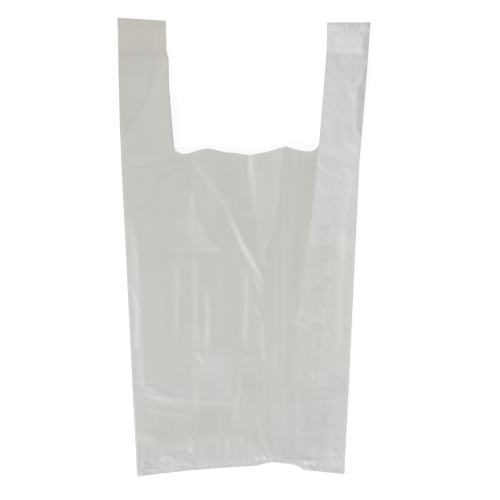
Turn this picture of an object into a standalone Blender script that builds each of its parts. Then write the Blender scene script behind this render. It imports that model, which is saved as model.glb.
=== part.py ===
"""Tie-handle bin bag: one tube of thin plastic film, lying flat on its back.

The tube is pleated in at both sides, sealed across the bottom and across the top
of each handle, and die cut between the handles through every layer. A little air
in it holds the front clear of the back, so the mouth, the inside and both handle
loops are open. X runs across the bag, Y runs up it to the handles and Z up from
the surface that it lies on. Lengths are written in millimetres times MM.
"""

import math

import bmesh
import bpy

MM = 0.001

# Driving dimensions of the film and the lay.
FILM = 0.1 * MM
SEAL_DEPTH = 10 * MM
SEAL_THICKNESS = 0.8 * MM
SEAL_SPREAD = 0.4 * MM
LAYER_STEP_IN_SEAL = 0.16 * MM
CROWN = 13 * MM
SIDE_LIFT = 4.6 * MM
LOOP_LIFT = 8.0 * MM
FOLD_GAP = 0.8 * MM
PLEAT_LEVEL = 0.45
FOLD_NOSE = 0.4 * MM

# How fast the bag fills out away from its seals and above the mouth.
BOTTOM_RAMP = 85 * MM
TOP_RAMP = 62 * MM
LOOP_RAMP = 45 * MM
BACK_RAMP = 9 * MM

# Outer side creases: (height, distance across), top to bottom.
LEFT_SIDE = [(275.7, -152.1), (140.0, -148.6), (104.0, -147.3), (-275.7, -128.4)]
RIGHT_SIDE = [(270.0, 152.1), (134.0, 140.9), (104.0, 138.4), (-275.7, 120.4)]

# Handles' inner cut edges, carried on down the body as the line of the cut.
LEFT_CUT = [(272.0, -93.8), (236.0, -93.2), (228.0, -90.8), (196.0, -90.4), (124.4, -84.6), (-275.7, -66.0)]
RIGHT_CUT = [(270.0, 99.7), (236.0, 99.2), (196.0, 96.2), (122.5, 90.2), (-275.7, 66.0)]

# Inner creases of the side pleats.
LEFT_PLEAT = [(140.0, -80.5), (104.0, -78.5), (-275.7, -52.5)]
RIGHT_PLEAT = [(140.0, 87.0), (104.0, 83.5), (-86.0, 61.5), (-275.7, 47.5)]

# Wavy edge of the mouth, as (distance across, height) along it.
MOUTH = [(-69.3, 111.6), (-58.0, 114.9), (-50.0, 117.1), (-43.5, 117.9), (-36.0, 116.8), (-22.0, 113.5),
         (-10.0, 112.5), (5.5, 110.4), (20.0, 112.4), (34.0, 115.6), (44.0, 118.8), (50.5, 120.3),
         (58.0, 117.95), (66.0, 115.9), (75.5, 114.6)]
LEFT_CORNER_RADIUS = 12.5 * MM
RIGHT_CORNER_RADIUS = 12.5 * MM

# Bottom edge, which the heat of the seal has drawn up in the middle.
BOTTOM = [(-128.4, -275.7), (-100.0, -272.0), (-70.0, -268.6), (-34.0, -265.6), (14.0, -262.6),
          (33.0, -257.8), (62.0, -261.8), (72.0, -267.6), (120.4, -272.6)]

# Upper edge of each handle: its height at the outer and at the inner corner.
LEFT_TOP = (275.7, 272.0)
RIGHT_TOP = (270.0, 270.0)

# Creases in the front film: the line followed, how high it stands, how wide it is.
CREASES = [
    ([(-62, 106), (-25, 50), (-12, 28), (-1, -3), (17, -27), (21, -42), (19, -60)], 1.6, 8),
    ([(6, 112), (8, 84), (9, 40)], 1.1, 8),
    ([(46, 121), (46, 60), (42, -20)], 1.2, 9),
    ([(-128, 34), (-129, -40), (-129, -150)], 0.8, 9),
    ([(-80, -12), (-80, -112)], 0.8, 8),
    ([(-62, 10), (-61, -180)], 0.9, 8),
    ([(4, -18), (3, -120)], 0.9, 8),
    ([(-120, -168), (-98, -180), (-62, -187), (-16, -191)], 1.1, 9),
    ([(22, -122), (24, -205), (40, -250)], 0.9, 8),
    ([(-7, -162), (-13, -200)], 0.8, 8),
    ([(68, -155), (60, -196)], 0.8, 9),
    ([(-98, -247), (-68, -235), (-16, -223)], 0.9, 10),
    ([(124, 48), (121, -10)], 0.8, 9),
]
PUCKER_WAVE = 34 * MM
PUCKER_HEIGHT = 0.7 * MM
PUCKER_REACH = 26 * MM

# Mesh stations: columns in each stretch of a layer, and rows up the bag.
HANDLE_COLUMNS = 5
MIDDLE_COLUMNS = 20
PLEAT_COLUMNS = 2
BODY_ROWS = 26
HANDLE_ROWS = 9
SEAL_ROWS = (3 * MM, 8.5 * MM)
CORNER_ROWS = (5 * MM, 10 * MM)
EDGE_CROWDING = 0.35
BOTTOM_BAND_STEPS = 30
TOP_BAND_STEPS = 4
MERGE_WITHIN = 0.001 * MM
SHARP_FOLD = math.radians(50)

FILM_COLOUR = (0.58, 0.58, 0.555, 1.0)
FILM_ROUGHNESS = 0.34


def mix(start, end, share):
    return start + (end - start) * share


def ease(share):
    """0 to 1 with a flat start and a flat end."""
    held = min(max(share, 0.0), 1.0)
    return held * held * (3 - 2 * held)


def along(points, place):
    """Straight-line reading of (place, value) points in millimetres, held at both ends."""
    ordered = sorted(points)
    at = place / MM
    if at <= ordered[0][0]:
        return ordered[0][1] * MM
    for (low, first), (high, second) in zip(ordered, ordered[1:]):
        if at <= high:
            return mix(first, second, (at - low) / (high - low)) * MM
    return ordered[-1][1] * MM


def side_x(side, y):
    return along(LEFT_SIDE if side < 0 else RIGHT_SIDE, y)


def bottom_y(x):
    return along(BOTTOM, x)


def wave_slopes():
    """Slope of the mouth's edge at each of its points: level at its lows, its crests and its ends."""
    rises = [(second - first) / (high - low) for (low, first), (high, second) in zip(MOUTH, MOUTH[1:])]
    inner = [2 * before * after / (before + after) if before * after > 0 else 0.0
             for before, after in zip(rises, rises[1:])]
    return [0.0] + inner + [0.0]


def wave_y(x):
    """Height of the mouth's wavy edge: a smooth curve through its points, level beyond its ends."""
    at = x / MM
    if at <= MOUTH[0][0]:
        return MOUTH[0][1] * MM
    slopes = wave_slopes()
    for place, ((low, first), (high, second)) in enumerate(zip(MOUTH, MOUTH[1:])):
        if at <= high:
            share = (at - low) / (high - low)
            bend = (1 - share) * slopes[place] - share * slopes[place + 1]
            return (mix(first, second, ease(share)) + share * (1 - share) * (high - low) * bend) * MM
    return MOUTH[-1][1] * MM


def corner(side):
    """Centre and radius of the rounded corner between the mouth and a handle."""
    if side < 0:
        radius, level = LEFT_CORNER_RADIUS, MOUTH[0][1] * MM
    else:
        radius, level = RIGHT_CORNER_RADIUS, MOUTH[-1][1] * MM
    centre_y = level + radius
    centre_x = along(LEFT_CUT if side < 0 else RIGHT_CUT, centre_y) - side * radius
    return centre_x, centre_y, radius


def corner_y(side):
    """Height of the middle of the rounded corner."""
    _, centre_y, radius = corner(side)
    return centre_y - radius * math.sqrt(0.5)


def cut_x(side, y):
    """Inner edge of a handle, through the rounded corner and on down the body."""
    centre_x, centre_y, radius = corner(side)
    middle = corner_y(side)
    straight = along(LEFT_CUT if side < 0 else RIGHT_CUT, y)
    if y >= centre_y:
        return straight
    if y >= middle:
        return centre_x + side * math.sqrt(radius**2 - (centre_y - y) ** 2)
    at_corner = centre_x + side * radius * math.sqrt(0.5)
    shift = at_corner - along(LEFT_CUT if side < 0 else RIGHT_CUT, middle)
    return straight + shift * ease(1 - (middle - y) / (120 * MM))


def mouth_y(x):
    """Height of the die cut: its wave, and the rounded corner at each end."""
    side = -1 if x < 0 else 1
    centre_x, centre_y, radius = corner(side)
    reach = side * (x - centre_x)
    if reach <= 0:
        return wave_y(x)
    if reach >= radius * math.sqrt(0.5):
        return corner_y(side)
    return centre_y - math.sqrt(radius**2 - reach**2)


def pleat_x(side, y):
    """Inner crease of a side pleat, which stays inside the line of the cut."""
    crease = along(LEFT_PLEAT if side < 0 else RIGHT_PLEAT, y)
    nearest = cut_x(side, y) - side * 3 * MM
    return max(crease, nearest) if side < 0 else min(crease, nearest)


def top_y(side, x):
    outer, inner = LEFT_TOP if side < 0 else RIGHT_TOP
    outer_x = side_x(side, outer * MM)
    inner_x = cut_x(side, inner * MM)
    return mix(outer, inner, min(max((x - outer_x) / (inner_x - outer_x), 0), 1)) * MM


def crease_height(x, y):
    """How far the creases lift the front film at a place."""
    lift = 0.0
    for line, height, width in CREASES:
        nearest = width
        for (x1, y1), (x2, y2) in zip(line, line[1:]):
            length = (x2 - x1) ** 2 + (y2 - y1) ** 2
            share = ((x / MM - x1) * (x2 - x1) + (y / MM - y1) * (y2 - y1)) / length
            held = min(max(share, 0.0), 1.0)
            nearest = min(nearest, math.hypot(x / MM - mix(x1, x2, held), y / MM - mix(y1, y2, held)))
        lift += height * (1 - nearest / width) ** 2 * (1 + 2 * nearest / width)
    return lift * MM


def fullness(x, y):
    """Share of the full height reached here: 0 at a seal, 1 well away from every seal."""
    side = -1 if x < 0 else 1
    from_bottom = y - bottom_y(x) - SEAL_DEPTH
    from_top = top_y(side, x) - SEAL_DEPTH - y
    return ease(from_bottom / BOTTOM_RAMP) * ease(from_top / TOP_RAMP)


def handle_share(x, y):
    """0 in the body, 1 well up a handle."""
    return ease((y - corner_y(-1 if x < 0 else 1)) / LOOP_RAMP)


def back_z(x, y):
    """Back film: flat on the surface, and a little off it inside the seals."""
    side = -1 if x < 0 else 1
    from_bottom = y - bottom_y(x) - SEAL_DEPTH
    from_top = top_y(side, x) - SEAL_DEPTH - y
    free = ease(from_bottom / BACK_RAMP) * ease(from_top / BACK_RAMP)
    return mix(LAYER_STEP_IN_SEAL, FILM / 2, free)


def front_z(x, y):
    """Front film: domed by the air inside, pinched at the seals, creased."""
    left, right = side_x(-1, y), side_x(1, y)
    across = abs(2 * x - left - right) / (right - left)
    dome = max(0.0, 1 - across**2.6)
    side_level = mix(SIDE_LIFT, LOOP_LIFT, handle_share(x, y))
    sealed = LAYER_STEP_IN_SEAL * 4
    full = fullness(x, y)
    pucker = PUCKER_HEIGHT * math.sin(2 * math.pi * x / PUCKER_WAVE)
    from_seal = (y - bottom_y(x) - SEAL_DEPTH) / PUCKER_REACH
    puckered = pucker * ease(from_seal) * ease(3 - from_seal)
    steady = ease(full * 2)
    return sealed + full * (mix(side_level, CROWN, dome) - sealed) + steady * crease_height(x, y) + full * puckered


def step_at(x, y):
    """Spacing of two neighbouring layers where they are folded together."""
    return min(FOLD_GAP, (front_z(x, y) - back_z(x, y)) / 3)


def pleat_z(side, upper, x, y):
    """Height of the upper or lower layer of a side pleat."""
    outer_x = side_x(side, y) - side * FOLD_NOSE
    inner_x = pleat_x(side, y)
    share = min(max((outer_x - x) / (outer_x - inner_x), 0.0), 1.0)
    outer_front, outer_back = front_z(outer_x, y), back_z(outer_x, y)
    middle = mix(outer_back, outer_front, PLEAT_LEVEL)
    half_nose = step_at(outer_x, y) / 2
    loop = handle_share(x, y)
    if upper:
        level = mix(outer_front - step_at(outer_x, y), middle + half_nose, share)
        beside = front_z(x, y) - step_at(x, y)
        return min(mix(level, beside, loop), beside)
    level = mix(outer_back + step_at(outer_x, y), middle - half_nose, share)
    return mix(level, back_z(x, y) + step_at(x, y), loop)


def spread_out(share):
    """Moves evenly spaced stations towards both ends, where the corners are tight."""
    return share - EDGE_CROWDING * math.sin(2 * math.pi * share) / (2 * math.pi)


def layer_stations():
    """(layer, side, share) for each column once round the tube, from the left side of the front."""
    handle = [i / HANDLE_COLUMNS for i in range(HANDLE_COLUMNS + 1)]
    middle = [1 + spread_out(i / MIDDLE_COLUMNS) for i in range(1, MIDDLE_COLUMNS)]
    across = handle + middle + [2 + share for share in handle]
    depth = handle + [1 + (i + 1) / PLEAT_COLUMNS for i in range(PLEAT_COLUMNS)]
    stations = [("front", 0, share) for share in across]
    stations += [("front nose", 1, 0.0)]
    stations += [("upper pleat", 1, share) for share in depth]
    stations += [("inner nose", 1, 0.0)]
    stations += [("lower pleat", 1, share) for share in reversed(depth)]
    stations += [("back nose", 1, 0.0)]
    stations += [("back", 0, share) for share in reversed(across)]
    stations += [("back nose", -1, 0.0)]
    stations += [("lower pleat", -1, share) for share in depth]
    stations += [("inner nose", -1, 0.0)]
    stations += [("upper pleat", -1, share) for share in reversed(depth)]
    stations += [("front nose", -1, 0.0)]
    return stations + stations[:1]


def station_x(station, y):
    """Distance across the bag of a column at a height."""
    layer, side, share = station
    if layer in ("front", "back"):
        if share <= 1:
            return mix(side_x(-1, y) + FOLD_NOSE, cut_x(-1, y), share)
        if share <= 2:
            return mix(cut_x(-1, y), cut_x(1, y), share - 1)
        return mix(cut_x(1, y), side_x(1, y) - FOLD_NOSE, share - 2)
    if layer == "inner nose":
        return pleat_x(side, y)
    if layer in ("front nose", "back nose"):
        return side_x(side, y)
    if share <= 1:
        return mix(side_x(side, y) - side * FOLD_NOSE, cut_x(side, y), share)
    return mix(cut_x(side, y), pleat_x(side, y) + side * FOLD_NOSE, share - 1)


def station_z(station, x, y):
    layer, side, _ = station
    if layer == "front":
        return front_z(x, y)
    if layer == "back":
        return back_z(x, y)
    if layer == "front nose":
        return (front_z(x, y) + pleat_z(side, True, x, y)) / 2
    if layer == "back nose":
        return (back_z(x, y) + pleat_z(side, False, x, y)) / 2
    if layer == "inner nose":
        return (pleat_z(side, True, x, y) + pleat_z(side, False, x, y)) / 2
    return pleat_z(side, layer == "upper pleat", x, y)


def row_shares():
    """(zone, share or distance) for each row, from inside the bottom seal to inside the top seals."""
    rows = [("bottom", distance) for distance in SEAL_ROWS]
    rows += [("body", (i + 1) / BODY_ROWS) for i in range(BODY_ROWS)]
    rows += [("corner", distance) for distance in CORNER_ROWS]
    rows += [("handle", (i + 1) / HANDLE_ROWS) for i in range(HANDLE_ROWS)]
    return rows + [("top", distance) for distance in reversed(SEAL_ROWS)]


def row_y(row, side, x):
    """Height of a row at a distance across; each side's rows meet the middle ones at the corner."""
    zone, value = row
    base, mouth, top = bottom_y(x), mouth_y(x), top_y(side, x)
    if zone == "bottom":
        return base + value
    if zone == "body":
        return mix(base + SEAL_DEPTH, mouth, value)
    if zone == "corner":
        return corner_y(side) + value
    if zone == "handle":
        return mix(corner_y(side) + CORNER_ROWS[-1], top - SEAL_DEPTH, value)
    return top - value


def place(station, row):
    """Where a column and a row of the film meet."""
    rough = row_y(row, -1 if station_x(station, 0) < 0 else 1, station_x(station, 0))
    x = station_x(station, rough)
    side = -1 if x < 0 else 1
    y = row_y(row, side, x)
    x = station_x(station, y)
    return x, y, station_z(station, x, y)


def cut_away(station, following):
    """True between two columns that the die removes above the mouth."""
    outside = []
    for layer, _, share in (station, following):
        if layer in ("front", "back"):
            outside.append(share < 1 or share > 2)
        elif layer in ("upper pleat", "lower pleat"):
            outside.append(share < 1)
        else:
            outside.append(layer != "inner nose")
    return not any(outside)


def film_material():
    material = bpy.data.materials.new("bin_bag_film")
    material.use_nodes = True
    shader = material.node_tree.nodes["Principled BSDF"]
    shader.inputs["Base Color"].default_value = FILM_COLOUR
    shader.inputs["Roughness"].default_value = FILM_ROUGHNESS
    shader.inputs["Metallic"].default_value = 0.0
    return material


def make_tube(collection):
    """The pleated tube: an open sheet cut by the die, rolled into its folds, then given its thickness."""
    stations, rows = layer_stations(), row_shares()
    last_column, last_row = len(stations) - 1, len(rows) - 1
    mouth_row = len(SEAL_ROWS) + BODY_ROWS - 1
    sheet = bmesh.new()
    bmesh.ops.create_grid(sheet, x_segments=last_column, y_segments=last_row, size=1)

    def indices(point):
        return round((point.x + 1) / 2 * last_column), round((point.y + 1) / 2 * last_row)

    removed = []
    for face in sheet.faces:
        corners = [indices(vertex.co) for vertex in face.verts]
        column, row = min(c for c, _ in corners), min(r for _, r in corners)
        if row >= mouth_row and cut_away(stations[column], stations[column + 1]):
            removed.append(face)
    bmesh.ops.delete(sheet, geom=removed, context="FACES")
    for vertex in sheet.verts:
        column, row = indices(vertex.co)
        vertex.co = place(stations[column], rows[row])
    bmesh.ops.remove_doubles(sheet, verts=sheet.verts, dist=MERGE_WITHIN)
    bmesh.ops.triangulate(sheet, faces=sheet.faces)
    mesh = bpy.data.meshes.new("bin_bag")
    sheet.to_mesh(mesh)
    sheet.free()
    mesh.shade_smooth()
    mesh.set_sharp_from_angle(angle=SHARP_FOLD)
    mesh.materials.append(film_material())
    tube = bpy.data.objects.new("bin_bag", mesh)
    collection.objects.link(tube)
    wall = tube.modifiers.new("film thickness", "SOLIDIFY")
    wall.thickness = FILM
    wall.offset = 0
    return tube


def seal_band(name, collection, count, edge_point):
    """A strip of fused film SEAL_DEPTH deep, from its edge inwards, as a closed block."""
    band = bmesh.new()
    bmesh.ops.create_grid(band, x_segments=count, y_segments=1, size=1)
    for vertex in band.verts:
        share = (vertex.co.x + 1) / 2
        inside = vertex.co.y > 0
        x, y, inward = edge_point(share)
        vertex.co = (x, y + (inward * SEAL_DEPTH if inside else 0), 0)
    if edge_point(0)[2] < 0:
        bmesh.ops.reverse_faces(band, faces=band.faces)
    block = bmesh.ops.extrude_face_region(band, geom=band.faces[:])
    raised = [item for item in block["geom"] if isinstance(item, bmesh.types.BMVert)]
    bmesh.ops.translate(band, verts=raised, vec=(0, 0, SEAL_THICKNESS))
    bmesh.ops.recalc_face_normals(band, faces=band.faces)
    mesh = bpy.data.meshes.new(name)
    band.to_mesh(mesh)
    band.free()
    strip = bpy.data.objects.new(name, mesh)
    strip.hide_render = True
    strip.display_type = "WIRE"
    collection.objects.link(strip)
    return strip


def bottom_edge(share):
    x = mix(side_x(-1, BOTTOM[0][1] * MM) - SEAL_SPREAD, side_x(1, BOTTOM[-1][1] * MM) + SEAL_SPREAD, share)
    return x, bottom_y(x), 1


def top_edge(side):
    """Edge of a handle's top seal, read from its outer to its inner corner."""

    def point(share):
        y = top_y(side, side_x(side, LEFT_TOP[0] * MM))
        outer = side_x(side, y) + side * SEAL_SPREAD
        inner = cut_x(side, y) - side * SEAL_SPREAD
        x = mix(outer, inner, share)
        return x, top_y(side, x), -1

    return point


def weld(tube, band):
    join = tube.modifiers.new("weld " + band.name, "BOOLEAN")
    join.operation = "UNION"
    join.solver = "EXACT"
    join.object = band


def main():
    for old in list(bpy.data.objects):
        bpy.data.objects.remove(old, do_unlink=True)
    bag = bpy.data.collections.new("tie_handle_bin_bag")
    helpers = bpy.data.collections.new("seal_bands")
    for collection in (bag, helpers):
        bpy.context.scene.collection.children.link(collection)
    tube = make_tube(bag)
    weld(tube, seal_band("bottom_seal", helpers, BOTTOM_BAND_STEPS, bottom_edge))
    weld(tube, seal_band("left_handle_seal", helpers, TOP_BAND_STEPS, top_edge(-1)))
    weld(tube, seal_band("right_handle_seal", helpers, TOP_BAND_STEPS, top_edge(1)))


main()
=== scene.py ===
"""Looks of the tie-handle bin bag: its pleated film with every crease, and the plain studio it is seen in.

The bag lies on its back, with X across it, Y up it to the handles and Z up from the floor.
Everything is in metres. A length that is written in millimetres is multiplied by MM.
"""

import math

import bpy
import numpy as np
from bpy.props import FloatProperty, FloatVectorProperty, IntProperty, PointerProperty
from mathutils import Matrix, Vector, noise


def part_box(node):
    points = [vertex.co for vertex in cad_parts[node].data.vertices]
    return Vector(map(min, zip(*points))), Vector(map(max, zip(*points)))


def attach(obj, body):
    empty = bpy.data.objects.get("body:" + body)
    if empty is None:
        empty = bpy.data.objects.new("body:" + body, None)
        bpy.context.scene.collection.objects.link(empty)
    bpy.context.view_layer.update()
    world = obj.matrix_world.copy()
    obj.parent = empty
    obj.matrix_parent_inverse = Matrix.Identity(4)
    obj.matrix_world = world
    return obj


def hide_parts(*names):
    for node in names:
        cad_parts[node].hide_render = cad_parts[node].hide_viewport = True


bl_info = {
    "name": "Tie-Handle Bin Bag",
    "version": (1, 0, 0),
    "blender": (4, 5, 0),
    "location": "3D View > Sidebar > Bin Bag",
    "description": "Models a vest-shaped bin bag of thin pleated film, lying flat in a pale studio",
    "category": "Add Mesh",
}

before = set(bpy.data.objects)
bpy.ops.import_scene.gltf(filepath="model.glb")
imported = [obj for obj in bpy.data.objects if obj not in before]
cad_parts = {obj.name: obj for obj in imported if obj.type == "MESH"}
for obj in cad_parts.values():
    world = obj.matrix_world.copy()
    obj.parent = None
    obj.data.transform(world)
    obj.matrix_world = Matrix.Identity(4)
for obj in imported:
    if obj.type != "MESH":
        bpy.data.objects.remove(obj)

MM = 0.001
NODE = "bin_bag"
BODY = "root"

LOW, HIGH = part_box(NODE)
BAG_DEPTH = HIGH.z - LOW.z

# Middle and width of what the camera sees, at the middle height of the film.
VIEW_CENTRE = (7.2 * MM, -3.4 * MM)
VIEW_WIDTH = 599.5 * MM
VIEW_HEIGHT = 5 * MM

# The bag's two sides.
LEFT, RIGHT = -1, 1

# Outer side creases: (height, distance across) in millimetres, top to bottom.
SIDE_CREASE = {
    LEFT: [(275.7, -152.1), (140.0, -148.6), (104.0, -147.3), (-275.7, -128.4)],
    RIGHT: [(270.0, 152.1), (134.0, 140.9), (104.0, 138.4), (-275.7, 120.4)],
}
# Inner cut edges of the handles, carried on down the body.
CUT_EDGE = {
    LEFT: [(272.0, -93.8), (236.0, -93.2), (228.0, -90.8), (196.0, -90.4), (124.4, -84.6), (-275.7, -66.0)],
    RIGHT: [(270.0, 99.7), (236.0, 99.2), (196.0, 96.2), (122.5, 90.2), (-275.7, 66.0)],
}
# Inner creases of the side pleats, and how near to the line of the cut they come.
PLEAT_CREASE = {
    LEFT: [(140.0, -80.5), (104.0, -78.5), (-275.7, -52.5)],
    RIGHT: [(140.0, 87.0), (104.0, 83.5), (-86.0, 61.5), (-275.7, 47.5)],
}
PLEAT_MARGIN = 3 * MM
# Upper edge of each handle: height at its outer and at its inner corner.
HANDLE_TOP = {LEFT: (275.7, 272.0), RIGHT: (270.0, 270.0)}

# Wavy edge of the mouth, as (distance across, height) along it, and the rounded corners beside it.
MOUTH = [(-69.3, 111.6), (-58.0, 114.9), (-50.0, 117.1), (-43.5, 117.9), (-36.0, 116.8), (-22.0, 113.5),
         (-10.0, 112.5), (5.5, 110.4), (20.0, 112.4), (34.0, 115.6), (44.0, 118.8), (50.5, 120.3),
         (58.0, 117.95), (66.0, 115.9), (75.5, 114.6)]
CORNER_RADIUS = 12.5 * MM
DIAGONAL = math.sqrt(0.5)
# How far below a corner the cut's line comes back to its plain course.
CUT_FADE = 120 * MM

# Bottom edge, drawn up in the middle by the heat of the seal.
BOTTOM = [(-128.4, -275.7), (-100.0, -272.0), (-70.0, -268.6), (-34.0, -265.6), (14.0, -262.6),
          (33.0, -257.8), (62.0, -261.8), (72.0, -267.6), (120.4, -272.6)]

# How fast the bag fills out away from its seals and above the mouth, and how fast its layers part.
BOTTOM_RAMP = 85 * MM
TOP_RAMP = 62 * MM
LOOP_RAMP = 45 * MM
BACK_RAMP = 9 * MM
FREE_RAMP = 8 * MM
# Power of the bag's swell across: 2 is round, and more is flatter.
DOME_POWER = 2.6
# Room over a pleat in a handle, which lets its layers stand apart.
LOOP_ROOM = 0.6 * MM

# Rows of mesh in the bottom seal and in a top seal, and how many times fewer columns than the front the
# back has, and a pleat outside and inside the line of the cut.
FOOT_ROWS = 7
HEAD_ROWS = 5
BACK_COARSER = 3
PLEAT_COARSER = (4, 10)
# Share of a mesh step within which a point moves onto a crest, and a distance too small to divide by.
SNAP_REACH = 0.49
TINY = 1e-9
# Distance within which the tube's edges are joined, and the sharpest fold that still looks smooth.
JOIN_DISTANCE = 0.001 * MM
SMOOTH_ANGLE = math.radians(50)

# What brings the noise to about -1 to 1, and its kinds: the length across the bag and along it in
# millimetres, and the seed.
NOISE_RANGE = 1.6
PUCKERS = (8, 34, 5.0)
WAVES = (26, 170, 3.0)
CRINKLES = (13, 34, 7.0)
FINE_CRINKLES = (7, 8, 11.0)
RIPPLES = (17, 7, 4.0)
DENTS = (11, 13, 6.0)
FOOT_CRUMPLES = (8.5, 7, 5.0)
HEAD_CRUMPLES = (9, 5, 8.0)
LIP_WRINKLES = (12, 4, 2.0)
FOOT_WRINKLES = (7, 6, 9.0)
# Height of the fine crinkles where the film is two and where it is four layers deep, and of the ripples
# and the dents, all in crinkle heights.
FINE_HEIGHTS = (0.4, 1.6)
RIPPLE_HEIGHT = 2.0
DENT_HEIGHT = 3.6
# How dented the left handle's top is beside the right handle, and how crumpled the top seals are beside
# the foot.
LEFT_DENTS = 0.35
HEAD_CRUMPLE = 0.25

# Patterns in the film's look: length across the bag and along it in millimetres, and detail.
MOTTLE = (28, 60, 3.0)
STREAKS = (3.5, 160, 2.0)
GRAIN = (7, 10, 2.0)
CRUMPLE_GRAIN = (3.2, 3.6, 2.0)
# How far mottle and streaks darken and lighten the film, how far its roughness varies, and how high streaks
# and crumples stand in the bump beside the grain.
MOTTLE_TINT = (0.97, 1.03)
STREAK_TINT = (-0.02, 0.02)
GLOSS_SPREAD = 0.08
STREAK_HEIGHT = 0.35
CRUMPLE_HEIGHT = 20.0
BUMP_STRENGTH = 0.25
BUMP_HEIGHT = 0.1 * MM

# The floor as the camera sees it, a little under the bag, and the key light's place.
WHITE = (1, 1, 1, 1)
FLOOR_SHADE = (0.15, 0.15, 0.15)
FLOOR_GLOW = 0.88
FLOOR_LEVEL = -0.2 * MM
KEY_PLACE = (-2.3, -2.0, 2.5)

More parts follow.
